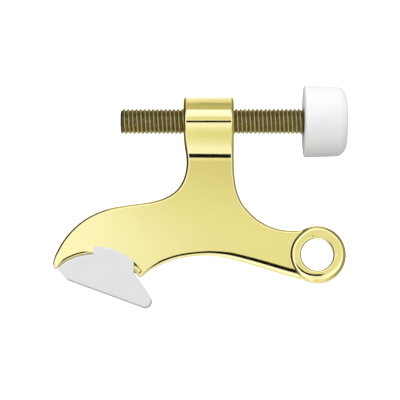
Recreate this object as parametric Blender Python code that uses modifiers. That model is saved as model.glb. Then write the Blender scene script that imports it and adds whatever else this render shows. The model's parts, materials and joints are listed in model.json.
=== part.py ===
"""Hinge-pin door stop: cast arm with an eye, adjusting screw, door bumper and swivelling nose pad.

Metres, +Z up. The origin is the centre of the eye's bore, at half its thickness, and +Z is the
hinge pin's axis. The adjusting screw runs along +X, from its free end to the door bumper.
"""

import math

import bmesh
import bpy
from mathutils import Matrix

MM = 0.001
NAME = "door_stop"
GAP = 0.3 * MM                   # between neighbouring pieces
CUT = 1.0 * MM                   # how far a cutter reaches past what it cuts

# Eye for the hinge pin
EYE_RADIUS = 8.55 * MM
EYE_HALF = 3.5 * MM
EYE_ROUNDING = 1.4 * MM
BORE_RADIUS = 4.75 * MM
BORE_CHAMFER = 0.4 * MM

# Flat of the arm, and the cross boss that it swells into
ARM_HALF = 3.0 * MM
ARM_ROUNDING = 0.6 * MM
BOSS_Y = 40.3 * MM
BOSS_RADIUS = 7.45 * MM
BOSS_LEFT = -39.6 * MM
BOSS_RIGHT = -24.5 * MM
FLAT_END_Y = 28.6 * MM           # where the flat turns into the hollow under the boss

# Thread M8 x 1.25, right-handed
PITCH = 1.25 * MM
THREAD_MAJOR = 4.0 * MM
THREAD_MINOR = 3.26 * MM
THREAD_CLEARANCE = 0.14 * MM
THREAD_STEPS = 18                # facets in one turn
MOUTH_RADIUS = 4.5 * MM          # cone at each end of the tapped hole
MOUTH_DEPTH = 1.0 * MM

# Adjusting screw
SCREW_LEFT = -58.4 * MM
SCREW_THREAD_END = -3.4 * MM
SCREW_CHAMFER = 0.9 * MM
NECK_RADIUS = 3.1 * MM
HEAD_RADIUS = 5.5 * MM
HEAD_LEFT = -0.8 * MM
HEAD_RIGHT = 1.7 * MM
HEAD_CHAMFER = 0.5 * MM

# Door bumper
BUMPER_LEFT = -3.5 * MM
BUMPER_RIGHT = 9.3 * MM
BUMPER_RADIUS = 10.85 * MM
BUMPER_TAPER = 0.3 * MM
BUMPER_ROUNDING = 3.5 * MM
BUMPER_MOUTH = 4.3 * MM          # radius of the hole that the screw enters by
BUMPER_CHAMFER = 0.4 * MM

# Nose seat, and the pad that swivels on it
SEAT_X = -66.0 * MM
SEAT_Y = -16.1 * MM
SEAT_RADIUS = 16.3 * MM
GROOVE_INNER = 16.9 * MM
GROOVE_OUTER = 18.3 * MM
GROOVE_DEPTH = 0.9 * MM
GROOVE_START = 36.5              # degrees, the end that shows beside the cheek
GROOVE_END = 87.0
PAD_TURN = -20.0                 # degrees, slope of the pad's contact face
PAD_HALF = 5.0 * MM
PAD_FACE = 5.5 * MM              # contact face's distance from the seat's centre
PAD_LEFT = -10.7 * MM            # left end of the contact face
PAD_TIP = (-13.7 * MM, 7.1 * MM)
CHEEK_RADIUS = 18.4 * MM
CHEEK_WIDTH = 11.9 * MM
CHEEK_ROOT = 2.0 * MM            # how far a cheek reaches inside the seat
BEAD_START = 53.0                # degrees
BEAD_END = 85.5

# The arm's edge from the boss down to the nose tip, in millimetres
UPPER_EDGE = [
    (-39.6, 36.5), (-39.4, 33.0), (-38.8, 29.5), (-38.7, 26.4), (-39.5, 22.7), (-41.4, 19.5),
    (-44.6, 17.2), (-49.4, 15.7), (-56.0, 14.8), (-62.6, 13.5), (-68.8, 10.6), (-73.7, 6.2),
    (-76.8, 1.4), (-78.0, -1.6), (-78.1, -3.3), (-77.4, -4.5),
]
# The lower arch, from the seat's right lip to the eye
LOWER_EDGE = [
    (-51.8, -6.6), (-50.4, -5.3), (-47.2, -3.5), (-42.7, -1.7), (-38.0, -0.7), (-32.6, -0.3),
    (-28.0, -0.8), (-23.0, -2.0), (-17.5, -3.6), (-11.0, -5.6), (-5.0, -7.3),
]
# The hollow between the eye and the boss
INNER_EDGE = [
    (-5.0, 7.2), (-8.0, 7.2), (-11.4, 7.6), (-14.2, 8.6), (-17.4, 10.4), (-20.2, 13.0),
    (-22.4, 15.9), (-23.7, 19.4), (-24.3, 23.4), (-24.5, 28.0),
]

# The pad's blunt right end in its own frame, down to the contact face
PAD_RIGHT_EDGE = [(12.3, 11.0), (14.7, 9.1), (15.3, 7.6), (15.0, 6.3), (13.9, 5.5)]


def clear_scene():
    for thing in list(bpy.data.objects):
        bpy.data.objects.remove(thing, do_unlink=True)


def collection(name):
    group = bpy.data.collections.new(name)
    bpy.context.scene.collection.children.link(group)
    return group


def material(name, colour, roughness, metallic):
    finish = bpy.data.materials.new(name)
    finish.use_nodes = True
    shader = finish.node_tree.nodes["Principled BSDF"]
    shader.inputs["Base Color"].default_value = (*colour, 1.0)
    shader.inputs["Roughness"].default_value = roughness
    shader.inputs["Metallic"].default_value = metallic
    return finish


def arc(centre, radius, start, end, steps):
    """Points on an arc, both ends included; angles in degrees."""
    points = []
    for step in range(steps + 1):
        angle = math.radians(start + (end - start) * step / steps)
        points.append((centre[0] + radius * math.cos(angle), centre[1] + radius * math.sin(angle)))
    return points


def smooth_path(points, steps):
    """A Catmull-Rom curve through the points, with its end tangents taken from the end chords."""
    ends = [points[0]] + list(points) + [points[-1]]
    path = []
    for index in range(len(points) - 1):
        p0, p1, p2, p3 = ends[index:index + 4]
        for step in range(steps):
            t = step / steps
            weights = (
                -0.5 * t + t * t - 0.5 * t ** 3,
                1.0 - 2.5 * t * t + 1.5 * t ** 3,
                0.5 * t + 2.0 * t * t - 1.5 * t ** 3,
                -0.5 * t * t + 0.5 * t ** 3,
            )
            path.append(tuple(
                sum(w * p[axis] for w, p in zip(weights, (p0, p1, p2, p3))) for axis in (0, 1)
            ))
    path.append(points[-1])
    return path


def scaled(points):
    return [(x * MM, y * MM) for x, y in points]


def mesh_object(name, source, group):
    """The evaluated mesh of an object, welded, as a new object in its place."""
    graph = bpy.context.evaluated_depsgraph_get()
    mesh = bpy.data.meshes.new_from_object(source.evaluated_get(graph))
    work = bmesh.new()
    work.from_mesh(mesh)
    bmesh.ops.remove_doubles(work, verts=work.verts, dist=0.00001)
    bmesh.ops.recalc_face_normals(work, faces=work.faces)
    work.to_mesh(mesh)
    work.free()
    place = source.matrix_world.copy()
    bpy.data.objects.remove(source, do_unlink=True)
    result = bpy.data.objects.new(name, mesh)
    result.matrix_world = place
    group.objects.link(result)
    return result


def prism(name, outline, half, group, turn=None):
    """A flat outline thickened by half on both sides of its plane."""
    curve = bpy.data.curves.new(name, "CURVE")
    curve.dimensions = "2D"
    curve.fill_mode = "BOTH"
    curve.extrude = half
    spline = curve.splines.new("POLY")
    spline.points.add(len(outline) - 1)
    for point, (x, y) in zip(spline.points, outline):
        point.co = (x, y, 0.0, 1.0)
    spline.use_cyclic_u = True
    source = bpy.data.objects.new(name, curve)
    group.objects.link(source)
    if turn is not None:
        source.matrix_world = turn
    bpy.context.view_layer.update()
    return mesh_object(name, source, group)


def profile_object(name, profile, closed, group):
    """A profile of (radius, height) points as edges in the XZ plane."""
    mesh = bpy.data.meshes.new(name)
    edges = [(index, index + 1) for index in range(len(profile) - 1)]
    if closed:
        edges.append((len(profile) - 1, 0))
    mesh.from_pydata([(radius, 0.0, height) for radius, height in profile], edges, [])
    result = bpy.data.objects.new(name, mesh)
    group.objects.link(result)
    return result


def turned(name, profile, closed, steps, group, turn=None):
    """A profile revolved about its own Z axis, then placed by a matrix."""
    source = profile_object(name, profile, closed, group)
    screw = source.modifiers.new("revolve", "SCREW")
    screw.steps = steps
    screw.render_steps = steps
    screw.use_merge_vertices = True
    screw.merge_threshold = 0.00001
    screw.use_normal_calculate = True
    if turn is not None:
        source.matrix_world = turn
    bpy.context.view_layer.update()
    return mesh_object(name, source, group)


def thread(name, grow, start, turns, group):
    """A closed threaded bar along the screw's axis; grow is added to each radius."""
    minor = THREAD_MINOR + grow
    profile = [(minor, PITCH), (THREAD_MAJOR + grow, PITCH / 2), (minor, 0.0)]
    source = profile_object(name, profile, False, group)
    screw = source.modifiers.new("helix", "SCREW")
    screw.screw_offset = PITCH
    screw.iterations = turns
    screw.steps = THREAD_STEPS
    screw.render_steps = THREAD_STEPS
    screw.use_merge_vertices = True
    screw.merge_threshold = 0.00001
    source.matrix_world = along_screw(start)
    bpy.context.view_layer.update()
    bar = mesh_object(name, source, group)
    close_ends(bar)
    return bar


def close_ends(bar):
    """Fans from each open helical end to a point on the bar's own axis."""
    work = bmesh.new()
    work.from_mesh(bar.data)
    open_edges = [edge for edge in work.edges if edge.is_boundary]
    middle = sum(vert.co.z for vert in work.verts) / len(work.verts)
    for side in (-1, 1):
        rim = [e for e in open_edges if (e.verts[0].co.z - middle) * side > 0]
        height = sum(v.co.z for e in rim for v in e.verts) / (2 * len(rim))
        hub = work.verts.new((0.0, 0.0, height))
        for edge in rim:
            work.faces.new((edge.verts[0], edge.verts[1], hub))
    bmesh.ops.recalc_face_normals(work, faces=work.faces)
    work.to_mesh(bar.data)
    work.free()


def along_screw(start):
    """Local Z becomes the screw's axis, +X, starting at the given X."""
    return Matrix.Translation((start, BOSS_Y, 0.0)) @ Matrix.Rotation(math.pi / 2, 4, "Y")


def boolean(target, tool, operation):
    modifier = target.modifiers.new(tool.name, "BOOLEAN")
    modifier.operation = operation
    modifier.solver = "EXACT"
    modifier.object = tool
    tool.hide_render = True
    tool.display_type = "WIRE"


def bevel(target, width, segments):
    modifier = target.modifiers.new("rounded edges", "BEVEL")
    modifier.width = width
    modifier.segments = segments
    modifier.limit_method = "ANGLE"
    modifier.angle_limit = math.radians(40.0)
    modifier.use_clamp_overlap = False


def finish(target, colour, angle=35.0):
    target.data.materials.clear()
    target.data.materials.append(colour)
    target.data.shade_smooth()
    target.data.set_sharp_from_angle(angle=math.radians(angle))


def arm_outline():
    """The arm seen along the hinge pin, as one closed loop."""
    above_boss = BOSS_Y + BOSS_RADIUS + CUT
    loop = [(BOSS_RIGHT, above_boss), (BOSS_LEFT, above_boss)]
    loop += smooth_path(scaled(UPPER_EDGE), 3)
    loop += arc((SEAT_X, SEAT_Y), SEAT_RADIUS, 130.5, 35.0, 28)
    loop += smooth_path(scaled(LOWER_EDGE), 3)
    loop += smooth_path(scaled(INNER_EDGE), 3)
    return loop


def arm_section():
    """The arm seen along the screw: its flat, the hollow under the boss, and the boss."""
    run = BOSS_Y - FLAT_END_Y
    hollow = (run ** 2 + ARM_HALF ** 2 - BOSS_RADIUS ** 2) / (2 * (BOSS_RADIUS - ARM_HALF))
    centre = (FLAT_END_Y, ARM_HALF + hollow)
    meet = math.degrees(math.atan2(centre[1], run))
    half = [(-20.0 * MM, ARM_HALF)]
    half += arc(centre, hollow, -90.0, -meet, 8)
    half += arc((BOSS_Y, 0.0), BOSS_RADIUS, 180.0 - meet, 0.0, 16)[1:]
    mirrored = [(y, -z) for y, z in reversed(half[:-1])]
    return half + mirrored


def eye_profile():
    """The eye's ring, as a closed (radius, height) loop that runs down its outer side."""
    outer = arc((EYE_RADIUS - EYE_ROUNDING, EYE_HALF - EYE_ROUNDING), EYE_ROUNDING, 90.0, 0.0, 4)
    lower = [(radius, -height) for radius, height in reversed(outer)]
    inner = [
        (BORE_RADIUS + BORE_CHAMFER, -EYE_HALF), (BORE_RADIUS, -EYE_HALF + BORE_CHAMFER),
        (BORE_RADIUS, EYE_HALF - BORE_CHAMFER), (BORE_RADIUS + BORE_CHAMFER, EYE_HALF),
    ]
    return outer + lower + inner


def make_arm(parts, cutters, brass):
    arm = prism("arm_casting", arm_outline(), BOSS_RADIUS + CUT, parts)
    along_x = Matrix(((0, 0, 1, 0), (1, 0, 0, 0), (0, 1, 0, 0), (0, 0, 0, 1)))
    boolean(arm, prism("section", arm_section(), 0.1, cutters, along_x), "INTERSECT")
    bevel(arm, ARM_ROUNDING, 2)
    inside_eye = (BORE_RADIUS + EYE_RADIUS) / 2
    pin_room = prism("pin_room", arc((0.0, 0.0), inside_eye, 0.0, 354.0, 59), BOSS_RADIUS, cutters)
    boolean(arm, pin_room, "DIFFERENCE")
    boolean(arm, turned("eye", eye_profile(), True, 60, cutters), "UNION")
    for side in (1, -1):
        groove = prism("groove", groove_outline(), GROOVE_DEPTH, cutters,
                       Matrix.Translation((0.0, 0.0, side * ARM_HALF)))
        boolean(arm, groove, "DIFFERENCE")
    start = BOSS_LEFT - 2 * PITCH - (BOSS_LEFT - SCREW_LEFT) % PITCH
    turns = math.ceil((BOSS_RIGHT - BOSS_LEFT) / PITCH) + 4
    boolean(arm, thread("tapped_hole", THREAD_CLEARANCE, start, turns, cutters), "DIFFERENCE")
    for x, side in ((BOSS_LEFT, 1), (BOSS_RIGHT, -1)):
        mouth = turned("mouth", mouth_profile(), False, 40, cutters,
                       along_screw(x) @ Matrix.Scale(side, 4, (0, 0, 1)))
        boolean(arm, mouth, "DIFFERENCE")
    finish(arm, brass)
    return arm


def mouth_profile():
    """A cone that opens each end of the tapped hole."""
    return [(0.0, MOUTH_DEPTH), (MOUTH_RADIUS - MOUTH_DEPTH, MOUTH_DEPTH), (MOUTH_RADIUS, 0.0),
            (MOUTH_RADIUS, -CUT), (0.0, -CUT)]


def groove_outline():
    """One curved groove with round ends, cut in each face beside the seat."""
    middle = (GROOVE_INNER + GROOVE_OUTER) / 2
    half = (GROOVE_OUTER - GROOVE_INNER) / 2
    start = math.radians(GROOVE_START)
    end = math.radians(GROOVE_END)
    first = (SEAT_X + middle * math.cos(start), SEAT_Y + middle * math.sin(start))
    last = (SEAT_X + middle * math.cos(end), SEAT_Y + middle * math.sin(end))
    loop = arc((SEAT_X, SEAT_Y), GROOVE_OUTER, GROOVE_START, GROOVE_END, 14)
    loop += arc(last, half, GROOVE_END, GROOVE_END + 180.0, 6)[1:-1]
    loop += arc((SEAT_X, SEAT_Y), GROOVE_INNER, GROOVE_END, GROOVE_START, 14)
    loop += arc(first, half, GROOVE_START + 180.0, GROOVE_START + 360.0, 6)[1:-1]
    return loop


def make_screw(parts, cutters, bronze):
    turns = math.ceil((SCREW_THREAD_END - SCREW_LEFT) / PITCH) + 4
    screw = thread("adjusting_screw", 0.0, SCREW_LEFT - 2 * PITCH, turns, parts)
    length = SCREW_THREAD_END - SCREW_LEFT
    blank = [
        (0.0, length), (NECK_RADIUS, length), (THREAD_MAJOR + GAP, length - SCREW_CHAMFER),
        (THREAD_MAJOR + GAP, SCREW_CHAMFER), (THREAD_MAJOR + GAP - SCREW_CHAMFER, 0.0), (0.0, 0.0),
    ]
    boolean(screw, turned("screw_blank", blank, False, 40, cutters, along_screw(SCREW_LEFT)),
            "INTERSECT")
    head = [
        (0.0, HEAD_RIGHT), (HEAD_RADIUS - HEAD_CHAMFER, HEAD_RIGHT),
        (HEAD_RADIUS, HEAD_RIGHT - HEAD_CHAMFER), (HEAD_RADIUS, HEAD_LEFT), (NECK_RADIUS, HEAD_LEFT),
        (NECK_RADIUS, SCREW_THREAD_END - CUT), (0.0, SCREW_THREAD_END - CUT),
    ]
    boolean(screw, turned("screw_head", head, False, 40, cutters, along_screw(0.0)), "UNION")
    finish(screw, bronze)
    return screw


def make_bumper(parts, white):
    corner = (BUMPER_RADIUS - BUMPER_TAPER - BUMPER_ROUNDING, BUMPER_RIGHT - BUMPER_ROUNDING)
    profile = [(0.0, BUMPER_RIGHT)]
    profile += arc(corner, BUMPER_ROUNDING, 90.0, 0.0, 8)
    profile += [
        (BUMPER_RADIUS, BUMPER_LEFT + BUMPER_CHAMFER),
        (BUMPER_RADIUS - BUMPER_CHAMFER, BUMPER_LEFT),
        (BUMPER_MOUTH, BUMPER_LEFT),
        (BUMPER_MOUTH, SCREW_THREAD_END + GAP),
        (NECK_RADIUS + GAP, SCREW_THREAD_END + GAP),
        (NECK_RADIUS + GAP, HEAD_LEFT - GAP),
        (HEAD_RADIUS + GAP, HEAD_LEFT - GAP),
        (HEAD_RADIUS + GAP, HEAD_RIGHT + GAP),
        (0.0, HEAD_RIGHT + GAP),
    ]
    bumper = turned("door_bumper", profile, False, 48, parts, along_screw(0.0))
    finish(bumper, white)
    return bumper


def pad_outline(seat_radius):
    """The pad's wedge in its own frame: the seat's centre at 0, 0 and the contact face below."""
    loop = [(PAD_LEFT, PAD_FACE), PAD_TIP]
    loop += arc((0.0, 0.0), seat_radius, 147.0, 50.0, 26)
    loop += smooth_path(scaled(PAD_RIGHT_EDGE), 3)
    return loop


def cheek_outline():
    """A cheek beside the seat: two upright edges between arcs about the seat's centre."""
    inner = SEAT_RADIUS - CHEEK_ROOT
    outer_start = math.degrees(math.acos(CHEEK_WIDTH / CHEEK_RADIUS))
    inner_start = math.degrees(math.acos(CHEEK_WIDTH / inner))
    loop = arc((0.0, 0.0), CHEEK_RADIUS, outer_start, 90.0, 12)
    loop += arc((0.0, 0.0), inner, 90.0, inner_start, 8)
    return loop


def bead_outline():
    """The rib on a cheek's inner side that slides in the arm's groove."""
    loop = arc((0.0, 0.0), GROOVE_OUTER - GAP, BEAD_START, BEAD_END, 12)
    loop += arc((0.0, 0.0), GROOVE_INNER + GAP, BEAD_END, BEAD_START, 12)
    return loop


def make_pad(parts, cutters, white):
    seat = Matrix.Translation((SEAT_X, SEAT_Y, 0.0))
    place = seat @ Matrix.Rotation(math.radians(PAD_TURN), 4, "Z")
    pad = prism("nose_pad", pad_outline(SEAT_RADIUS - GAP), PAD_HALF, parts, place)
    cheek_low = ARM_HALF + GAP
    bead_low = ARM_HALF - GROOVE_DEPTH + GAP
    for side in (1, -1):
        for name, outline, low in (("cheek", cheek_outline(), cheek_low),
                                   ("bead", bead_outline(), bead_low)):
            half = (PAD_HALF - low) / 2
            lift = Matrix.Translation((0.0, 0.0, side * (low + half)))
            boolean(pad, prism(name, outline, half, cutters, seat @ lift), "UNION")
    finish(pad, white)
    return pad


def main():
    clear_scene()
    parts = collection(NAME)
    cutters = collection(NAME + "_cutters")
    brass = material("polished_brass", (0.88, 0.79, 0.42), 0.08, 1.0)
    bronze = material("antique_brass", (0.34, 0.29, 0.15), 0.35, 1.0)
    white = material("white_rubber", (0.86, 0.86, 0.86), 0.5, 0.0)
    make_arm(parts, cutters, brass)
    make_screw(parts, cutters, bronze)
    make_bumper(parts, white)
    make_pad(parts, cutters, white)


main()
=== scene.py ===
"""Finished surfaces of a hinge-pin door stop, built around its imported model.

Lengths are in metres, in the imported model's frame: the hinge pin's axis is Z through the origin,
and the adjusting screw runs along X. Each CAD node is replaced by one finer piece on the same body.
"""

import json
import math

import bmesh
import bpy
import numpy as np
from mathutils import Matrix, Vector


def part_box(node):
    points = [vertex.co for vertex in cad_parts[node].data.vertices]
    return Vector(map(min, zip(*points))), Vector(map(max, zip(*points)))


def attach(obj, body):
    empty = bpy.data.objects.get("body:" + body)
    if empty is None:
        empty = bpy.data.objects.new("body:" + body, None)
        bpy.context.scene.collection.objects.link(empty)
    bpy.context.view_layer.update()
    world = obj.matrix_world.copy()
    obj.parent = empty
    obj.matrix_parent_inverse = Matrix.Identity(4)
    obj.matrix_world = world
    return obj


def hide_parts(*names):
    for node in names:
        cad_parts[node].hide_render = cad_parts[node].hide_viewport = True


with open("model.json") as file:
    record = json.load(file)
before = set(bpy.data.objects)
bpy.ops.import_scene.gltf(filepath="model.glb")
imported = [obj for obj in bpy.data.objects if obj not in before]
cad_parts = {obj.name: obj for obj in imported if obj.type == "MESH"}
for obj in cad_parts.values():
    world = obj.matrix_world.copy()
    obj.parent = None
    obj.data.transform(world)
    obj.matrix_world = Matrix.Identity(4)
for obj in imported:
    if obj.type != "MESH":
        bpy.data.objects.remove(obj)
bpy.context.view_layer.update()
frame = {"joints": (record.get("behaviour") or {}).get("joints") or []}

MM = 0.001
GAP = 0.3 * MM                   # between pieces that fit each other
WELD = 1e-6
FINE_WELD = 1e-7
JOINTS = {joint["name"]: joint for joint in frame["joints"]}
ARM_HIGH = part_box("arm_casting")[1]
SCREW_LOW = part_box("adjusting_screw")[0]
BUMPER_LOW, BUMPER_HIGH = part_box("door_bumper")
PAD_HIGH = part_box("nose_pad")[1]
SCREW_Y = JOINTS["screw_turn"]["pos_m"][1]
SEAT_X, SEAT_Y = JOINTS["pad_swivel"]["pos_m"][:2]

# Arm
EYE_RADIUS = ARM_HIGH.x
EYE_HALF = 3.5 * MM
EYE_STEPS = 144
# Rounding of the ring's outer edge and radius of its fillet onto the arm, in millimetres, and how
# soft that edge is, from 0 to 1, all by angle around the bore
EYE_ROUNDING = [
    (0, 1.5), (90, 1.4), (135, 1.9), (205, 1.9), (225, 2.4), (270, 2.9), (315, 2.5), (360, 1.5),
]
EYE_FILLET = [(125, 0.0), (140, 0.6), (205, 0.6), (220, 0.0)]
EYE_SOFTNESS = [(0, 0.3), (110, 0.3), (130, 0.0), (205, 0.0), (230, 1.0), (330, 1.0), (360, 0.3)]
BORE_RADIUS = 4.75 * MM
BORE_ROUNDING = 0.6 * MM
ARM_HALF = 3.0 * MM
BOSS_RADIUS = ARM_HIGH.z
BOSS_LEFT = -39.6 * MM
BOSS_RIGHT = -24.5 * MM
HOLLOW_END = 28.35 * MM          # where the flat turns into the hollow under the boss
HOLLOW_EASE = (15.0 * MM, 4.5, 12.0)  # the hollow's first stretch: radius, first and last slope
ROW_START = 27.0 * MM            # from here up, the arm is made of straight rows
ROW_SPACING = 0.3 * MM
ROW_CLEAR = 0.1 * MM             # from the edges' last free point to the first row
SEAT_RADIUS = 16.3 * MM
SEAT_SPAN = (130.5, 35.0)        # degrees, from the nose tip to the right lip
GROOVE_RADIUS = 17.45 * MM       # middle of the round-bottomed groove in each face
GROOVE_HALF = 0.8 * MM
GROOVE_SPAN = (40.0, 87.0)       # degrees
GROOVE_TILTS = (80.0, 65.0, 50.0, 35.0, 20.0, 8.0, -8.0)
BEAD_SPAN = (53.0, 85.5)
BEAD_HALF = 0.3 * MM
BEAD_DEPTH = 0.5 * MM
EDGE_TILTS = (0, 1.5, 3, 5, 7, 10, 15, 22, 30, 40, 50, 60, 70, 80, 90)  # across a rounded edge

# Adjusting screw, M8 x 1.25
PITCH = 1.25 * MM
THREAD_MAJOR = 4.0 * MM
THREAD_MINOR = 3.26 * MM
THREAD_CREST = 0.1 * MM          # flats at crest and root
THREAD_CLEARANCE = 0.14 * MM     # in the boss, on the radius
THREAD_END = -3.4 * MM
SCREW_CHAMFER = 0.9 * MM
SCREW_BREAK = 0.15 * MM          # the last corner of the screw's free end
NECK_RADIUS = 3.1 * MM
HEAD_RADIUS = 5.5 * MM
HEAD_SPAN = (-0.8 * MM, 1.7 * MM)
HEAD_ROUNDING = 0.5 * MM

# Door bumper
BUMPER_TAPER = 0.3 * MM
BUMPER_ROUNDING = 3.5 * MM       # at the face that meets the door
BUMPER_BACK_ROUNDING = 0.5 * MM
MOUTH_RADIUS = 4.3 * MM
MOUTH_ROUNDING = 0.3 * MM

# Nose pad; its outline is in millimetres from the seat's centre
PAD_HALF = PAD_HIGH.z
PAD_ROUNDING = 0.35 * MM
SLOT_HALF = ARM_HALF + GAP
BEAD_ROOT = 0.4 * MM             # how far the beads run into the cheeks
PAD_TURN = -20.0                 # degrees
PAD_SEAT = 16.0
PAD_FACE = 5.5
WEDGE_LEFT = [(-10.7, PAD_FACE), (-13.7, 7.1)]
WEDGE_RIGHT = [(12.3, 11.0), (14.7, 9.1), (15.3, 7.6), (15.0, 6.3), (13.9, PAD_FACE)]
CHEEK_RADIUS = 18.4
CHEEK_WIDTH = 11.9
PAD_SPACING = 0.25

# The arm's edge from the boss down to the nose tip, in millimetres
UPPER_EDGE = [
    (-39.6, 36.5), (-39.4, 33.0), (-38.8, 29.5), (-38.7, 26.4), (-39.5, 22.7), (-41.4, 19.5),
    (-44.6, 17.2), (-49.4, 15.7), (-56.0, 14.8), (-62.6, 13.5), (-68.8, 10.6), (-73.7, 6.2),
    (-76.8, 1.4), (-78.0, -1.6), (-78.1, -3.3), (-77.4, -4.5),
]
# The lower arch, from the seat's right lip to the eye
LOWER_EDGE = [
    (-51.8, -6.6), (-50.4, -5.3), (-47.2, -3.5), (-42.7, -1.7), (-38.0, -0.7), (-32.6, -0.3),
    (-28.0, -0.8), (-23.0, -2.0), (-17.5, -3.6), (-11.0, -5.6), (-5.0, -7.3), (-2.5, -7.7),
]
# The hollow between the eye and the boss
INNER_EDGE = [
    (-2.5, 7.2), (-5.0, 7.2), (-8.0, 7.2), (-11.4, 7.6), (-14.2, 8.6), (-17.4, 10.4), (-20.2, 13.0),
    (-22.4, 15.9), (-23.7, 19.4), (-24.3, 23.4), (-24.5, 28.0), (-24.5, 34.0),
]
# Width of the edge rounding in millimetres and its softness from 0 to 1, along the lower arch by X
ARCH_ROUNDING = [
    (-52.0, 0.3), (-49.5, 0.7), (-46.0, 1.35), (-34.6, 1.4), (-30.0, 1.7), (-25.6, 2.2),
    (-16.7, 2.5), (-6.0, 2.6),
]
ARCH_SOFTNESS = [(-52.0, 0.0), (-48.0, 1.0)]
# The same along the seat, by degrees around its centre
SEAT_ROUNDING = [(90.0, 0.3), (100.0, 1.1), (122.0, 1.1), (130.5, 0.25)]
SEAT_SOFTNESS = [(90.0, 0.0), (100.0, 1.0), (122.0, 1.0), (130.5, 0.0)]
# Width along the other edges, by Y
SIDE_ROUNDING = [(-4.5, 0.25), (-2.5, 0.5), (1.0, 0.9), (30.0, 0.95), (36.0, 0.95)]
# Share of every width that is left inside the eye, by X
EYE_TAPER = [(-6.0, 1.0), (-2.5, 0.1)]


# ---------------------------------------------------------------- outlines

def arc(centre, radius, start, end, steps):
    """Points on an arc, both ends included; angles in degrees."""
    angles = np.radians(np.linspace(start, end, steps + 1))
    return np.stack([centre[0] + radius * np.cos(angles), centre[1] + radius * np.sin(angles)], 1)


def smooth_path(points, steps):
    """A Catmull-Rom curve through the points."""
    ends = np.array([points[0], *points, points[-1]], float)
    path = []
    for p0, p1, p2, p3 in zip(ends, ends[1:], ends[2:], ends[3:]):
        for t in np.arange(steps) / steps:
            path.append(0.5 * (2 * p1 + (p2 - p0) * t + (2 * p0 - 5 * p1 + 4 * p2 - p3) * t * t
                               + (3 * p1 - p0 - 3 * p2 + p3) * t ** 3))
    path.append(ends[-1])
    return np.array(path)


def even(path, spacing):
    """The same path with evenly spaced points, ends kept."""
    path = np.asarray(path, float)
    along = np.concatenate([[0.0], np.cumsum(np.linalg.norm(np.diff(path, axis=0), axis=1))])
    where = np.linspace(0.0, along[-1], max(2, int(round(along[-1] / spacing)) + 1))
    return np.stack([np.interp(where, along, path[:, axis]) for axis in (0, 1)], 1)


def relax(path, passes):
    """Evens out the curvature; the ends stay."""
    path = np.array(path, float)
    for _ in range(passes):
        middle = (np.roll(path, 1, 0) + np.roll(path, -1, 0)) / 2
        moved = (path + middle) / 2
        moved[0], moved[-1] = path[0], path[-1]
        path = moved
    return path


def edge_curve(points, spacing=0.4 * MM, passes=12):
    """A smooth edge of the arm, in metres, through points in millimetres."""
    return relax(even(smooth_path(points, 8) * MM, spacing), passes)


def by(places, stops):
    """Values between stops of (place, value)."""
    return np.interp(places, *zip(*stops))


def turn_points(points, degrees):
    """The points turned counter-clockwise about the origin."""
    angle = math.radians(degrees)
    spin = np.array([[math.cos(angle), math.sin(angle)], [-math.sin(angle), math.cos(angle)]])
    return np.asarray(points) @ spin


# ---------------------------------------------------------------- mesh tools

def new_object(name, points, faces, weld=WELD):
    """A mesh object with doubled points welded and its faces pointing out."""
    mesh = bpy.data.meshes.new(name)
    mesh.from_pydata([tuple(p) for p in points], [], faces)
    work = bmesh.new()
    work.from_mesh(mesh)
    bmesh.ops.remove_doubles(work, verts=work.verts, dist=weld)
    bmesh.ops.dissolve_degenerate(work, edges=work.edges, dist=weld)
    bmesh.ops.recalc_face_normals(work, faces=work.faces)
    work.to_mesh(mesh)
    work.free()
    piece = bpy.data.objects.new(name, mesh)
    bpy.context.scene.collection.objects.link(piece)
    return piece


def apply_modifiers(piece):
    """Makes what a piece's modifiers show its own mesh."""
    bpy.context.view_layer.update()
    graph = bpy.context.evaluated_depsgraph_get()
    mesh = bpy.data.meshes.new_from_object(piece.evaluated_get(graph))
    piece.modifiers.clear()
    piece.data = mesh


def combine(piece, tool, operation):
    """A boolean with a tool, which is then removed."""
    modifier = piece.modifiers.new(operation.lower(), "BOOLEAN")
    modifier.operation = operation
    modifier.solver = "EXACT"
    modifier.object = tool
    apply_modifiers(piece)
    bpy.data.objects.remove(tool, do_unlink=True)


def tidy_mesh(piece, weld=2 * WELD):
    """Welds what a boolean leaves behind, and prints how many edges aren't closed."""
    work = bmesh.new()
    work.from_mesh(piece.data)
    bmesh.ops.remove_doubles(work, verts=work.verts, dist=weld)
    bmesh.ops.dissolve_degenerate(work, edges=work.edges, dist=weld)
    open_edges = sum(not edge.is_manifold for edge in work.edges)
    work.to_mesh(piece.data)
    work.free()
    print(piece.name, len(piece.data.polygons), "faces,", open_edges, "open edges")


def smooth(piece, material, angle=32.0):
    """Smooth shading that leaves flat faces flat, with creases past the angle."""
    piece.data.materials.clear()
    piece.data.materials.append(material)
    piece.data.shade_smooth()
    piece.data.set_sharp_from_angle(angle=math.radians(angle))
    weighted = piece.modifiers.new("weighted normals", "WEIGHTED_NORMAL")
    weighted.keep_sharp = True
    weighted.weight = 90
    apply_modifiers(piece)


def loft(name, rings):
    """A solid through equal outlines at rising heights; each ring is (outline, height)."""
    count = len(rings[0][0])
    points, faces = [], []
    for outline, height in rings:
        points += [(x, y, height) for x, y in outline]
    for level in range(len(rings) - 1):
        for i in range(count):
            j = (i + 1) % count
            a = level * count
            faces.append((a + i, a + j, a + count + j, a + count + i))
    faces.append(tuple(range(count)))
    faces.append(tuple(range((len(rings) - 1) * count, len(rings) * count)))
    return new_object(name, points, faces)


def prism(name, outline, low, high):
    """An outline extruded between two heights."""
    return loft(name, [(outline, low), (outline, high)])


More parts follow.
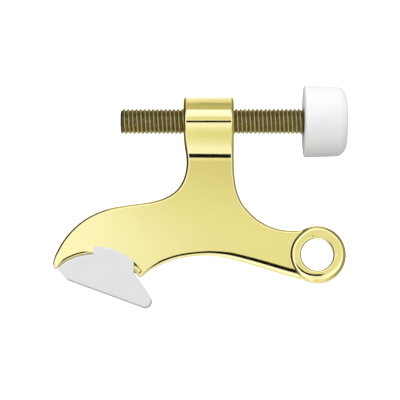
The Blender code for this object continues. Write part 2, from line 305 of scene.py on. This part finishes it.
def rounded_slab(name, outline, half, rounding, steps=5):
    """An outline thickened by half on both sides, with quarter-round edges."""
    rings = []
    for angle in np.radians(np.linspace(0.0, 90.0, steps + 1)):
        inset = rounding * (1 - math.cos(angle))
        rings.append((offset(outline, inset), half - rounding * (1 - math.sin(angle))))
    return loft(name, [(ring, -height) for ring, height in rings[::-1]] + rings)


def inward(path, closed):
    """Unit normals to the left of a path, with the length that keeps an inset parallel."""
    path = np.asarray(path, float)
    if closed:
        before, after = path - np.roll(path, 1, 0), np.roll(path, -1, 0) - path
    else:
        step = np.diff(path, axis=0)
        before, after = np.vstack([step[:1], step]), np.vstack([step, step[-1:]])
    before /= np.linalg.norm(before, axis=1)[:, None]
    after /= np.linalg.norm(after, axis=1)[:, None]
    normal = np.stack([-(before + after)[:, 1], (before + after)[:, 0]], 1)
    normal /= np.linalg.norm(normal, axis=1)[:, None]
    cosine = np.abs(normal[:, 0] * -after[:, 1] + normal[:, 1] * after[:, 0])
    return normal / np.maximum(cosine, 0.5)[:, None]


def offset(outline, distance):
    """A closed outline moved inward; counter-clockwise outlines only."""
    return outline + inward(outline, True) * distance


def revolve(name, profile, steps):
    """A (radius, height) profile from axis to axis, turned about Z."""
    count = len(profile)
    points, faces = [], []
    for step in range(steps):
        angle = 2 * math.pi * step / steps
        points += [(r * math.cos(angle), r * math.sin(angle), z) for r, z in profile]
    for step in range(steps):
        a, b = step * count, (step + 1) % steps * count
        for i in range(count - 1):
            faces.append((a + i, b + i, b + i + 1, a + i + 1))
    return new_object(name, points, faces)


def along_screw(piece, start):
    """Lays a piece's Z axis along the screw, from the given X."""
    place = Matrix.Translation((start, SCREW_Y, 0.0)) @ Matrix.Rotation(math.pi / 2, 4, "Y")
    piece.data.transform(place)
    return piece


def helix(name, profile, turns, steps):
    """A threaded bar: the profile climbs one pitch a turn, and fans close both ends."""
    count = len(profile)
    columns = turns * steps + 1
    points, faces = [], []
    for column in range(columns):
        angle = 2 * math.pi * column / steps
        rise = PITCH * column / steps
        points += [(r * math.cos(angle), r * math.sin(angle), z + rise) for r, z in profile]
    for column in range(columns - 1):
        for i in range(count - 1):
            a, b = column * count + i, (column + 1) * count + i
            faces.append((a, b, b + 1, a + 1))
    hub = len(points)
    points += [(0.0, 0.0, PITCH / 2), (0.0, 0.0, PITCH * (turns + 0.5))]
    for step in range(steps):
        a, b = step * count, (step + 1) * count
        faces.append((a, b, hub))
        top = (columns - 1 - steps + step) * count + count - 1
        faces.append((top, top + count, hub + 1))
    for i in range(count - 1):
        faces.append((i, i + 1, hub))
        last = (columns - 1) * count + i
        faces.append((last, last + 1, hub + 1))
    return new_object(name, points, faces, FINE_WELD)


# ---------------------------------------------------------------- arm

def arm_section():
    """The upper surface seen along the screw, as arcs: (length, y, z, slope, signed radius).

    They are the hollow's gentle start, the rest of the hollow, and the boss's cylinder.
    """
    ease = HOLLOW_EASE[0]
    first, slope = np.radians(HOLLOW_EASE[1:])
    y = HOLLOW_END + ease * (math.sin(slope) - math.sin(first))
    z = ARM_HALF + ease * (math.cos(first) - math.cos(slope))
    run = SCREW_Y - y
    radius = (run ** 2 + z ** 2 - BOSS_RADIUS ** 2) / 2
    radius /= BOSS_RADIUS - z * math.cos(slope) - run * math.sin(slope)
    meet = math.atan2(run + radius * math.sin(slope), z + radius * math.cos(slope))
    start = HOLLOW_END + ease * (slope - first)
    boss_start = start + radius * (meet - slope)
    return [
        (HOLLOW_END, HOLLOW_END, ARM_HALF, first, ease),
        (start, y, z, slope, radius),
        (boss_start, SCREW_Y - BOSS_RADIUS * math.sin(meet), BOSS_RADIUS * math.cos(meet), meet,
         -BOSS_RADIUS),
    ]


SECTION = arm_section()
SECTION_LENGTH = SECTION[-1][0] + BOSS_RADIUS * (SECTION[-1][3] + math.pi / 2)


def fold(x, length, drop):
    """The point at a length along the upper surface, pushed into the metal by drop."""
    y, z, slope = length, ARM_HALF, 0.0
    for start, arc_y, arc_z, arc_slope, radius in SECTION:
        if length > start:
            slope = arc_slope + (length - start) / radius
            y = arc_y + radius * (math.sin(slope) - math.sin(arc_slope))
            z = arc_z + radius * (math.cos(arc_slope) - math.cos(slope))
    return (x, y + drop * math.sin(slope), max(0.0, z - drop * math.cos(slope)))


UNROLLED = np.linspace(0.0, SECTION_LENGTH, 4001)
FOLDED_Y = np.array([fold(0.0, length, 0.0)[1] for length in UNROLLED])


def unroll(y):
    """Length along the arm's upper surface at a given Y."""
    return y if y <= HOLLOW_END else float(np.interp(y, FOLDED_Y, UNROLLED))


def edge_profile(first, power, ease=1.0, at=EDGE_TILTS):
    """Inset and drop of an edge one unit wide, at each tilt; (90, 1) is a quarter circle.

    The slope grows to first degrees, as early as ease is small, and ends at 90 degrees at the wall.
    """
    along = np.linspace(0.0, 1.0, 2001)
    slope = np.radians(first * along ** ease + (90.0 - first) * along ** power)
    across = np.concatenate([[0.0], np.cumsum(np.cos((slope[1:] + slope[:-1]) / 2))])
    down = np.concatenate([[0.0], np.cumsum(np.sin((slope[1:] + slope[:-1]) / 2))])
    tilts = np.radians(at)
    inset = np.interp(tilts, slope, 1.0 - across / across[-1])
    drop = np.interp(tilts, slope, down / across[-1])
    return np.stack([inset, drop], 1)


def row_levels():
    """Lengths of the straight rows, close together where the surface curves."""
    count = int((SECTION_LENGTH - ROW_START) / ROW_SPACING)
    return np.linspace(ROW_START, SECTION_LENGTH, count + 1)


def rows_on_edge(curve, levels):
    """The X of an edge at each row, past its last point straight up."""
    lengths = np.array([unroll(y) for y in curve[:, 1]])
    order = np.argsort(lengths)
    return np.interp(levels, lengths[order], curve[order, 0])


def arm_boundary():
    """The unrolled outline, from the boss's top left down around the nose to its top right.

    With it come the width and the softness of its edge rounding at each point.
    """
    levels = row_levels()
    upper, inner, lower = edge_curve(UPPER_EDGE), edge_curve(INNER_EDGE), edge_curve(LOWER_EDGE)
    left_rows = np.stack([rows_on_edge(upper, levels), levels], 1)[::-1]
    right_rows = np.stack([rows_on_edge(inner, levels), levels], 1)
    left = np.vstack([left_rows, upper[upper[:, 1] < ROW_START - ROW_CLEAR]])
    right = np.vstack([inner[inner[:, 1] < ROW_START - ROW_CLEAR], right_rows])
    steps = 60
    seat = arc((SEAT_X, SEAT_Y), SEAT_RADIUS, *SEAT_SPAN, steps)
    angles = np.linspace(*SEAT_SPAN, steps + 1)
    path = np.vstack([left, seat, lower, right])
    width = np.concatenate([
        by(left[:, 1] / MM, SIDE_ROUNDING), by(angles, SEAT_ROUNDING),
        by(lower[:, 0] / MM, ARCH_ROUNDING), by(right[:, 1] / MM, SIDE_ROUNDING),
    ])
    width *= MM * by(path[:, 0] / MM, EYE_TAPER)
    softness = np.concatenate([
        np.zeros(len(left)), by(angles, SEAT_SOFTNESS),
        by(lower[:, 0] / MM, ARCH_SOFTNESS), np.zeros(len(right)),
    ])
    return path, width, softness, len(levels)


def arm_blank():
    """The arm without its eye, holes and grooves: rounded upper half, mirrored below."""
    path, width, softness, rows = arm_boundary()
    normals = inward(path, False)
    count = len(path)
    points, faces = [], []
    round_edge, soft_edge = edge_profile(90.0, 1.0), edge_profile(8.0, 5.0, 0.5)
    for hard, soft in zip(round_edge, soft_edge):
        for (x, length), normal, reach, share in zip(path, normals, width, softness):
            inset, drop = reach * (hard + (soft - hard) * share)
            points.append(fold(x + normal[0] * inset, length + normal[1] * inset, drop))
    points += [(x, y, 0.0) for x, y, _ in points[-count:]]
    for ring in range(len(EDGE_TILTS)):
        for i in range(count - 1):
            a = ring * count + i
            faces.append((a, a + 1, a + count + 1, a + count))
    for i in range(rows - 1):
        faces.append((i, i + 1, count - 2 - i, count - 1 - i))
    faces.append(tuple(range(rows - 1, count - rows + 1)))
    half = len(points)
    points += [(x, y, -z) for x, y, z in points]
    faces += [tuple(half + i for i in reversed(face)) for face in faces]
    return new_object("arm_casting_finish", points, faces)


def ring_profile(angle):
    """Upper half of the eye's section at an angle: bore edge, face, outer edge and its fillet."""
    rounding = by(angle, EYE_ROUNDING) * MM
    fillet = max(1e-5, by(angle, EYE_FILLET)) * MM
    floor = ARM_HALF - 0.01 * MM          # just under the arm's face, so that the two join
    centre = (EYE_RADIUS - rounding, EYE_HALF - rounding)
    rise = floor + fillet - centre[1]
    reach = centre[0] + math.sqrt(max(0.0, (rounding + fillet) ** 2 - rise ** 2))
    turn = math.degrees(math.asin(min(1.0, rise / (rounding + fillet))))
    bore = arc((BORE_RADIUS + BORE_ROUNDING, EYE_HALF - BORE_ROUNDING), BORE_ROUNDING, 180.0, 90.0, 5)
    outer = arc(centre, rounding, 90.0, turn, 12)
    hollow = arc((reach, floor + fillet), fillet, 180.0 + turn, 270.0, 6)[1:]
    sunk = math.degrees(math.asin((floor - centre[1]) / rounding))
    below = arc(centre, rounding, min(turn, sunk), 0.0, 8)[1:]
    below[:, 0] = np.maximum(below[:, 0], reach)
    edge = np.vstack([outer, hollow, below])
    inset, drop = edge_profile(26.0, 3.0, 1.0, np.linspace(0.0, 90.0, len(edge))).T * rounding
    soft = np.stack([EYE_RADIUS - inset, EYE_HALF - drop], 1)
    share = by(angle, EYE_SOFTNESS)
    return np.vstack([bore, edge + (soft - edge) * share])


def eye_ring():
    """The eye as a closed ring, whose section changes with the angle."""
    points, faces = [], []
    for step in range(EYE_STEPS):
        angle = 360.0 * step / EYE_STEPS
        upper = ring_profile(angle)
        for r, z in np.vstack([upper, upper[::-1] * (1, -1)]):
            turn = math.radians(angle)
            points.append((r * math.cos(turn), r * math.sin(turn), z))
    count = len(points) // EYE_STEPS
    for step in range(EYE_STEPS):
        a, b = step * count, (step + 1) % EYE_STEPS * count
        for i in range(count):
            j = (i + 1) % count
            faces.append((a + i, b + i, b + j, a + j))
    return new_object("eye", points, faces, FINE_WELD)


def groove_outline(half):
    """A slot along the groove's middle arc, with round ends; counter-clockwise."""
    start, end = GROOVE_SPAN
    centre = np.array((SEAT_X, SEAT_Y))
    first, last = arc(centre, GROOVE_RADIUS, start, end, 1)
    return np.vstack([
        arc(centre, GROOVE_RADIUS + half, start, end, 40),
        arc(last, half, end, end + 180.0, 10)[1:-1],
        arc(centre, GROOVE_RADIUS - half, end, start, 40),
        arc(first, half, start + 180.0, start + 360.0, 10)[1:-1],
    ])


def groove_tool(side):
    """The groove's round-bottomed cutter, from its floor to just above the face."""
    rings = []
    for angle in np.radians(GROOVE_TILTS):
        rings.append((groove_outline(GROOVE_HALF * math.cos(angle)),
                      ARM_HALF - GROOVE_HALF * math.sin(angle)))
    tool = loft("groove", rings)
    if side < 0:
        tool.data.transform(Matrix.Scale(-1, 4, (0, 0, 1)))
        tool.data.flip_normals()
    return tool


def thread_profile(grow):
    """One pitch of a 60 degree thread, from root to root, with small flats."""
    low, high = THREAD_MINOR + grow, THREAD_MAJOR + grow
    flat = THREAD_CREST
    flank = (PITCH - 2 * flat) / 2
    return [(low, 0.0), (low, flat / 2), (high, flat / 2 + flank),
            (high, flat * 1.5 + flank), (low, PITCH - flat / 2), (low, PITCH)]


def make_arm(brass):
    """The casting: blank, eye, grooves and tapped hole."""
    arm = arm_blank()
    inside_ring = arc((0.0, 0.0), (BORE_RADIUS + EYE_RADIUS) / 2, 0.0, 357.0, 119)
    combine(arm, prism("pin_room", inside_ring, -2 * EYE_HALF, 2 * EYE_HALF), "DIFFERENCE")
    combine(arm, eye_ring(), "UNION")
    for side in (1, -1):
        combine(arm, groove_tool(side), "DIFFERENCE")
    start = BOSS_LEFT - 2 * PITCH - (BOSS_LEFT - SCREW_LOW.x) % PITCH
    turns = math.ceil((BOSS_RIGHT - BOSS_LEFT) / PITCH) + 4
    hole = helix("tapped_hole", thread_profile(THREAD_CLEARANCE), turns, 36)
    combine(arm, along_screw(hole, start), "DIFFERENCE")
    tidy_mesh(arm)
    smooth(arm, brass)
    return arm


# ---------------------------------------------------------------- screw, bumper and pad

def rounded(corner_radius, corner_height, rounding, start, end, steps):
    """The profile points of a rounded corner, about the centre of its rounding."""
    return [tuple(p) for p in arc((corner_radius, corner_height), rounding, start, end, steps)]


def make_screw(bronze):
    """The threaded rod, cut to length with chamfered ends, with its neck and head."""
    length = THREAD_END - SCREW_LOW.x
    turns = math.ceil(length / PITCH) + 4
    screw = helix("adjusting_screw_finish", thread_profile(0.0), turns, 48)
    along_screw(screw, SCREW_LOW.x - 2 * PITCH)
    top = THREAD_MAJOR + 0.3 * MM         # outside the crests
    tip = top - SCREW_CHAMFER
    blank = [(0.0, length), (NECK_RADIUS, length), (top, length - SCREW_CHAMFER)]
    blank += [(top, SCREW_CHAMFER), (tip, SCREW_BREAK), (tip - SCREW_BREAK, 0.0), (0.0, 0.0)]
    combine(screw, along_screw(revolve("blank", blank, 64), SCREW_LOW.x), "INTERSECT")
    low, high = HEAD_SPAN
    neck_start = THREAD_END - 1.0 * MM    # inside the rod
    head = [(0.0, high)]
    head += rounded(HEAD_RADIUS - HEAD_ROUNDING, high - HEAD_ROUNDING, HEAD_ROUNDING, 90, 0, 5)
    head += [(HEAD_RADIUS, low), (NECK_RADIUS, low), (NECK_RADIUS, neck_start), (0.0, neck_start)]
    combine(screw, along_screw(revolve("head", head, 64), 0.0), "UNION")
    tidy_mesh(screw)
    smooth(screw, bronze, 25.0)
    return screw


def make_bumper(rubber):
    """The round bumper, hollow around the screw's head."""
    radius, front, back = BUMPER_HIGH.z, BUMPER_HIGH.x, BUMPER_LOW.x
    low, high = HEAD_SPAN
    face, foot, lip = BUMPER_ROUNDING, BUMPER_BACK_ROUNDING, MOUTH_ROUNDING
    profile = [(0.0, front)]
    profile += rounded(radius - BUMPER_TAPER - face, front - face, face, 90, 0, 16)
    profile += rounded(radius - foot, back + foot, foot, 0, -90, 5)
    profile += rounded(MOUTH_RADIUS + lip, back + lip, lip, 270, 180, 4)
    profile += [
        (MOUTH_RADIUS, THREAD_END + GAP), (NECK_RADIUS + GAP, THREAD_END + GAP),
        (NECK_RADIUS + GAP, low - GAP), (HEAD_RADIUS + GAP, low - GAP),
        (HEAD_RADIUS + GAP, high + GAP), (0.0, high + GAP),
    ]
    bumper = along_screw(revolve("door_bumper_finish", profile, 128), 0.0)
    tidy_mesh(bumper)
    smooth(bumper, rubber)
    return bumper


def plate_outline():
    """The pad seen along the pin: the wedge together with the cheek, counter-clockwise."""
    centre = (0.0, 0.0)
    rise = math.degrees(math.acos(CHEEK_WIDTH / CHEEK_RADIUS))
    foot = math.degrees(math.acos(CHEEK_WIDTH / PAD_SEAT))
    left = turn_points(WEDGE_LEFT, PAD_TURN)
    cheek = np.vstack([
        arc(centre, PAD_SEAT, 127.0, 90.0, 40), arc(centre, CHEEK_RADIUS, 90.0, rise, 40),
        arc(centre, PAD_SEAT, foot, 30.0, 14),
    ])
    cheek = relax(even(cheek, PAD_SPACING), 5)
    right = turn_points(relax(even(smooth_path(WEDGE_RIGHT, 8), PAD_SPACING), 4), PAD_TURN)
    loop = np.vstack([left, cheek, right])
    return loop[::-1] * MM + (SEAT_X, SEAT_Y)


def make_pad(rubber):
    """The wedge pad, slotted over the arm's nose, with a bead inside each cheek."""
    centre = (SEAT_X, SEAT_Y)
    pad = rounded_slab("nose_pad_finish", plate_outline(), PAD_HALF, PAD_ROUNDING)
    slot = np.vstack([arc(centre, SEAT_RADIUS - GAP, 150.0, 10.0, 120),
                      arc(centre, SEAT_RADIUS * 1.5, 10.0, 150.0, 40)])[::-1]
    combine(pad, prism("slot", slot, -SLOT_HALF, SLOT_HALF), "DIFFERENCE")
    start, end = BEAD_SPAN
    bead = np.vstack([arc(centre, GROOVE_RADIUS + BEAD_HALF, start, end, 30),
                      arc(centre, GROOVE_RADIUS - BEAD_HALF, end, start, 30)])
    low, high = ARM_HALF - BEAD_DEPTH, SLOT_HALF + BEAD_ROOT
    combine(pad, prism("bead", bead, low, high), "UNION")
    combine(pad, prism("bead", bead, -high, -low), "UNION")
    tidy_mesh(pad)
    smooth(pad, rubber)
    return pad


# ---------------------------------------------------------------- materials

def new_material(name, colour, roughness, metallic):
    """A material with its node tree and its shader."""
    material = bpy.data.materials.new(name)
    material.use_nodes = True
    shader = material.node_tree.nodes["Principled BSDF"]
    shader.inputs["Base Color"].default_value = (*colour, 1.0)
    shader.inputs["Roughness"].default_value = roughness
    shader.inputs["Metallic"].default_value = metallic
    return material, material.node_tree, shader


def add(tree, kind, **settings):
    """A new node with the given settings."""
    node = tree.nodes.new(kind)
    for key, value in settings.items():
        setattr(node, key, value)
    return node


def position(tree):
    """Where a surface point is, in the object's own metres."""
    return add(tree, "ShaderNodeTexCoord").outputs["Object"]


def noise(tree, scale, detail):
    """Noise through the solid, as a value from 0 to 1."""
    node = add(tree, "ShaderNodeTexNoise")
    node.inputs["Scale"].default_value = scale
    node.inputs["Detail"].default_value = detail
    tree.links.new(position(tree), node.inputs["Vector"])
    return node.outputs["Fac"]


def ramp(tree, source, stops):
    """A colour ramp; each stop is (place, colour)."""
    node = add(tree, "ShaderNodeValToRGB")
    elements = node.color_ramp.elements
    while len(elements) < len(stops):
        elements.new(0.5)
    for element, (place, colour) in zip(elements, stops):
        element.position = place
        element.color = (*colour, 1.0)
    tree.links.new(source, node.inputs["Fac"])
    return node.outputs["Color"]


def spread(tree, source, low, high):
    """A 0 to 1 value mapped to a range."""
    node = add(tree, "ShaderNodeMapRange")
    node.inputs["To Min"].default_value = low
    node.inputs["To Max"].default_value = high
    tree.links.new(source, node.inputs["Value"])
    return node.outputs["Result"]


def bump(tree, shader, layers):
    """Stacked bumps; each layer is (height source, strength, distance)."""
    normal = None
    for source, strength, distance in layers:
        node = add(tree, "ShaderNodeBump")
        node.inputs["Strength"].default_value = strength
        node.inputs["Distance"].default_value = distance
        tree.links.new(source, node.inputs["Height"])
        if normal is not None:
            tree.links.new(normal, node.inputs["Normal"])
        normal = node.outputs["Normal"]
    tree.links.new(normal, shader.inputs["Normal"])


def polished_brass():
    """Plated, buffed brass: faint colour drift, slow waves of hand polishing and fine haze."""
    material, tree, shader = new_material("polished_brass", (0.87, 0.79, 0.34), 0.06, 1.0)
    tints = [(0.3, (0.86, 0.775, 0.32)), (0.7, (0.885, 0.80, 0.35))]
    tree.links.new(ramp(tree, noise(tree, 55.0, 2.0), tints), shader.inputs["Base Color"])
    tree.links.new(spread(tree, noise(tree, 900.0, 4.0), 0.045, 0.085), shader.inputs["Roughness"])
    bump(tree, shader, [(noise(tree, 120.0, 1.0), 0.03, 0.2 * MM)])
    return material


def antique_brass():
    """Dark plated thread: crests lighter, partly worn bright and partly a painted highlight,
    brown-green patina in the roots, speckled all over.
    """
    material, tree, shader = new_material("antique_brass", (0.34, 0.29, 0.15), 0.35, 1.0)
    centred = add(tree, "ShaderNodeVectorMath", operation="MULTIPLY_ADD")
    centred.inputs[1].default_value = (0.0, 1.0, 1.0)
    centred.inputs[2].default_value = (0.0, -SCREW_Y, 0.0)
    tree.links.new(position(tree), centred.inputs[0])
    radius = add(tree, "ShaderNodeVectorMath", operation="LENGTH")
    tree.links.new(centred.outputs["Vector"], radius.inputs[0])
    depth = add(tree, "ShaderNodeMapRange")
    depth.inputs["From Min"].default_value = THREAD_MINOR
    depth.inputs["From Max"].default_value = THREAD_MAJOR
    tree.links.new(radius.outputs["Value"], depth.inputs["Value"])
    speckle = add(tree, "ShaderNodeMath", operation="MULTIPLY_ADD")
    speckle.inputs[1].default_value = 0.7
    tree.links.new(noise(tree, 1500.0, 5.0), speckle.inputs[0])
    # lighter toward the crests by radius from the axis: partly wear, partly a painted highlight
    crest_wear_and_highlight = add(tree, "ShaderNodeMath", operation="MULTIPLY")
    crest_wear_and_highlight.inputs[1].default_value = 0.55
    tree.links.new(depth.outputs["Result"], crest_wear_and_highlight.inputs[0])
    tree.links.new(crest_wear_and_highlight.outputs["Value"], speckle.inputs[2])
    colour = ramp(tree, speckle.outputs["Value"], [
        (0.2, (0.15, 0.12, 0.04)), (0.55, (0.38, 0.33, 0.14)), (0.95, (0.80, 0.73, 0.40)),
    ])
    tree.links.new(colour, shader.inputs["Base Color"])
    tree.links.new(spread(tree, noise(tree, 700.0, 4.0), 0.25, 0.45), shader.inputs["Roughness"])
    bump(tree, shader, [(noise(tree, 1800.0, 4.0), 0.25, 0.05 * MM)])
    return material


def white_rubber(name, level):
    """Moulded rubber: matt skin with a fine grain and the faintest mottling."""
    material, tree, shader = new_material(name, (level, level, level), 0.5, 0.0)
    tints = [(0.3, (level * 0.985,) * 3), (0.7, (level * 1.01,) * 3)]
    tree.links.new(ramp(tree, noise(tree, 180.0, 3.0), tints), shader.inputs["Base Color"])
    tree.links.new(spread(tree, noise(tree, 600.0, 4.0), 0.42, 0.58), shader.inputs["Roughness"])
    shader.inputs["Specular IOR Level"].default_value = 0.3
    bump(tree, shader, [(noise(tree, 2600.0, 4.0), 0.12, 0.05 * MM)])
    return material


# ---------------------------------------------------------------- stage

VIEW_CENTRE = Vector((-34.63, 16.56, 0.0)) * MM
VIEW_DISTANCE = 477.6 * MM
VIEW_TILT = math.radians(7.0)    # from straight above, toward -Y
PHOTOGRAPHER_BACK = 10 * MM      # the dark card's distance behind the camera, and its half sizes
PHOTOGRAPHER_HALF = (85 * MM, 38 * MM)
FLOOR_Z = -80 * MM
FLOOR_HALF = (1.5, 1.5)
FLOOR_GLOW = 0.9
FLOOR_RIM = 0.2                  # the floor glows this far from its middle
OVERHEAD_PLACE = Vector((-0.05, 0.12, 0.9))  # from the middle of the view
OVERHEAD_SIZE = 1.4
OVERHEAD_POWER = 7.5
SIDE_LAMPS = 6
SIDE_RISE = 0.27                 # height of a side lamp for each metre outward
SIDE_DISTANCE = 0.8
SIDE_SIZE = 0.7
SIDE_POWER = (2.3, 0.8)          # mean, and what is added toward +Y


def add_camera():
    """The long-lens camera above the object; gives its place."""
    data = bpy.data.cameras.new("camera")
    data.sensor_width = 36.0
    data.lens = 144.0
    data.clip_start = 0.01
    camera = bpy.data.objects.new("camera", data)
    back = Vector((0.0, -math.sin(VIEW_TILT), math.cos(VIEW_TILT)))
    camera.location = VIEW_CENTRE + back * VIEW_DISTANCE
    camera.rotation_euler = (VIEW_TILT, 0.0, 0.0)
    bpy.context.scene.collection.objects.link(camera)
    bpy.context.scene.camera = camera
    return camera.location


def card(name, centre, facing, half, grey, emission=0.0, rim=1.0):
    """A plain rectangle of the studio, facing a point; it glows up to rim metres from its middle."""
    mesh = bpy.data.meshes.new(name)
    corners = [(x * half[0], y * half[1], 0) for x, y in ((-1, -1), (1, -1), (1, 1), (-1, 1))]
    mesh.from_pydata(corners, [], [(0, 1, 2, 3)])
    piece = bpy.data.objects.new(name, mesh)
    piece.location = centre
    piece.rotation_euler = (Vector(facing) - Vector(centre)).to_track_quat("Z", "Y").to_euler()
    bpy.context.scene.collection.objects.link(piece)
    material, tree, shader = new_material(name, (grey,) * 3, 0.9, 0.0)
    shader.inputs["Specular IOR Level"].default_value = 0.0
    shader.inputs["Emission Color"].default_value = (1.0, 1.0, 1.0, 1.0)
    distance = add(tree, "ShaderNodeVectorMath", operation="LENGTH")
    tree.links.new(position(tree), distance.inputs[0])
    glow = add(tree, "ShaderNodeMapRange")
    glow.inputs["From Min"].default_value = rim
    glow.inputs["From Max"].default_value = 2 * rim
    glow.inputs["To Min"].default_value = emission
    glow.inputs["To Max"].default_value = 0.0
    tree.links.new(distance.outputs["Value"], glow.inputs["Value"])
    tree.links.new(glow.outputs["Result"], shader.inputs["Emission Strength"])
    mesh.materials.append(material)
    return piece


def math_node(tree, operation, *values):
    """A math node on other nodes' values; a plain number sets its input."""
    node = add(tree, "ShaderNodeMath", operation=operation)
    for value, entry in zip(values, node.inputs):
        if isinstance(value, float):
            entry.default_value = value
        else:
            tree.links.new(value, entry)
    return node.outputs["Value"]


def full_turn(tree, angle):
    """An angle in radians as 0 to 1, from half a turn back to half a turn on."""
    scaled = add(tree, "ShaderNodeMapRange")
    scaled.inputs["From Min"].default_value = -math.pi
    scaled.inputs["From Max"].default_value = math.pi
    tree.links.new(angle, scaled.inputs["Value"])
    return scaled.outputs["Result"]


def direction(tree, rise, run):
    """The angle of a direction from the run axis toward the rise axis, for a full turn."""
    return full_turn(tree, math_node(tree, "ARCTAN2", rise, run))


def level_ramp(tree, source, stops):
    """A ramp of plain brightness levels; each stop is (degrees, level) of a full turn."""
    return ramp(tree, source, [(0.5 + degrees / 360.0, (level,) * 3) for degrees, level in stops])


def mixed(tree, share, first, second):
    """The first value where the share is 0, and the second where it is 1."""
    node = add(tree, "ShaderNodeMix", data_type="FLOAT", clamp_factor=True)
    tree.links.new(share, node.inputs["Factor"])
    tree.links.new(first, node.inputs["A"])
    tree.links.new(second, node.inputs["B"])
    return node.outputs["Result"]


def add_world():
    """The studio that the metal mirrors: a lit cap overhead, a dim belt around it, a bright table."""
    world = bpy.data.worlds.new("studio")
    bpy.context.scene.world = world
    world.use_nodes = True
    tree = world.node_tree
    parts = add(tree, "ShaderNodeSeparateXYZ")
    tree.links.new(add(tree, "ShaderNodeTexCoord").outputs["Generated"], parts.inputs["Vector"])
    x, y, z = parts.outputs
    height = full_turn(tree, math_node(tree, "ARCSINE", z))
    around = direction(tree, y, x)
    cap = math_node(tree, "ADD", level_ramp(tree, direction(tree, y, z), CAP),
                    level_ramp(tree, direction(tree, x, z), CAP_LEFT))
    belt, table = level_ramp(tree, around, BELT), level_ramp(tree, height, TABLE)
    low = mixed(tree, level_ramp(tree, height, BELT_FLOOR_SHARE), belt, table)
    share = math_node(tree, "MULTIPLY", level_ramp(tree, height, BELT_SHARE),
                      level_ramp(tree, around, BELT_SIDES))
    brightest = SHADES[-1][0]
    level = math_node(tree, "DIVIDE", mixed(tree, share, cap, low), brightest)
    colour = ramp(tree, level, [(shade / brightest, tint) for shade, tint in SHADES])
    tree.links.new(colour, tree.nodes["Background"].inputs["Color"])
    world.cycles_visibility.diffuse = False


# The studio's colour at each level: warm where dim, a little cool where bright
SHADES = [
    (0.0, (0.0, 0.0, 0.0)), (0.02, (0.02, 0.015, 0.01)), (0.3, (0.31, 0.29, 0.20)),
    (0.65, (0.66, 0.63, 0.44)), (0.9, (0.91, 0.90, 0.72)), (1.1, (1.09, 1.11, 1.30)),
    (1.5, (1.35, 1.40, 2.10)),
]
# Level by degrees from straight up toward +Y, all the way round
CAP = [
    (-180, 1.1), (-140, 0.9), (-110, 0.7), (-90, 0.62), (-72, 0.84), (-58, 0.88), (-45, 0.96),
    (-30, 1.09), (-18, 1.12), (-6, 1.02), (0, 0.90), (2.4, 0.90), (5.2, 0.92), (6.3, 0.96),
    (7.1, 0.86), (7.6, 0.75), (8.2, 0.71), (9.2, 0.69), (9.8, 0.95), (15, 1.08), (21, 1.25),
    (43, 1.5), (50, 0.58), (65, 0.58), (82, 0.46), (97, 0.58), (114, 0.7), (139, 0.9), (165, 1.1),
    (180, 1.1),
]
# Added to it by degrees from straight up toward +X
CAP_LEFT = [
    (-12.0, 0.35), (-6.0, 0.3), (-3.5, 0.22), (-1.5, 0.08), (0.0, 0.02), (3.0, 0.0), (8.0, 0.0),
    (20.0, 0.3),
]
# Level of the belt, then its share, by direction around the horizon, from +X toward +Y
BELT = [
    (-180, 0.04), (-150, 0.1), (-120, 0.45), (-90, 0.6), (-60, 0.5), (-20, 0.35), (20, 0.35),
    (45, 0.25), (90, 0.4), (110, 0.25), (140, 0.08), (160, 0.05), (180, 0.04),
]
BELT_SIDES = [
    (-180, 1.0), (-140, 1.0), (-90, 0.0), (-40, 1.0), (60, 1.0), (90, 0.0), (110, 1.0), (180, 1.0),
]
# Share of the belt, share of the table below it, and the table's level, by height in degrees
BELT_SHARE = [(46, 1.0), (56, 0.0)]
BELT_FLOOR_SHARE = [(-80, 1.0), (-35, 0.0)]
TABLE = [(-90, 1.1), (-50, 0.9), (-5, 0.6)]


def add_lamp(name, place, size, power):
    """A soft round lamp toward the object, which the metal doesn't mirror."""
    data = bpy.data.lights.new(name, "AREA")
    data.shape = "DISK"
    data.size = size
    data.energy = power
    lamp = bpy.data.objects.new(name, data)
    lamp.location = place
    lamp.rotation_euler = (VIEW_CENTRE - lamp.location).to_track_quat("-Z", "Y").to_euler()
    lamp.visible_glossy = False
    bpy.context.scene.collection.objects.link(lamp)


def add_side_lamps():
    """A ring of low lamps, a little stronger on the far side."""
    for number in range(SIDE_LAMPS):
        turn = 2 * math.pi * number / SIDE_LAMPS
        side = Vector((math.cos(turn), math.sin(turn), SIDE_RISE))
        power = SIDE_POWER[0] + SIDE_POWER[1] * side.y
        add_lamp("side", VIEW_CENTRE + side * SIDE_DISTANCE, SIDE_SIZE, power)


def add_cards(eye_point):
    """The dark card that the metal mirrors as thin lines, and the pale floor."""
    away = (eye_point - VIEW_CENTRE).normalized()
    card("photographer", eye_point + away * PHOTOGRAPHER_BACK, VIEW_CENTRE, PHOTOGRAPHER_HALF, 0.01)
    below = (VIEW_CENTRE.x, VIEW_CENTRE.y, FLOOR_Z)
    above = (VIEW_CENTRE.x, VIEW_CENTRE.y, 1.0)
    floor = card("floor", below, above, FLOOR_HALF, 0.75, FLOOR_GLOW, FLOOR_RIM)
    floor.visible_glossy = False
    floor.visible_diffuse = False


# ---------------------------------------------------------------- build

arm = make_arm(polished_brass())
screw = make_screw(antique_brass())
bumper = make_bumper(white_rubber("white_bumper", 0.86))
pad = make_pad(white_rubber("white_pad", 0.74))

for piece, body, node, slot in (
    (arm, "arm", "arm_casting", "polished_brass"),
    (screw, "screw", "adjusting_screw", "antique_brass"),
    (bumper, "bumper", "door_bumper", "white_bumper"),
    (pad, "pad", "nose_pad", "white_pad"),
):
    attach(piece, body)
    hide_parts(node)

add_cards(add_camera())
add_world()
add_lamp("overhead", VIEW_CENTRE + OVERHEAD_PLACE, OVERHEAD_SIZE, OVERHEAD_POWER)
add_side_lamps()
bpy.context.scene.view_settings.view_transform = "Standard"
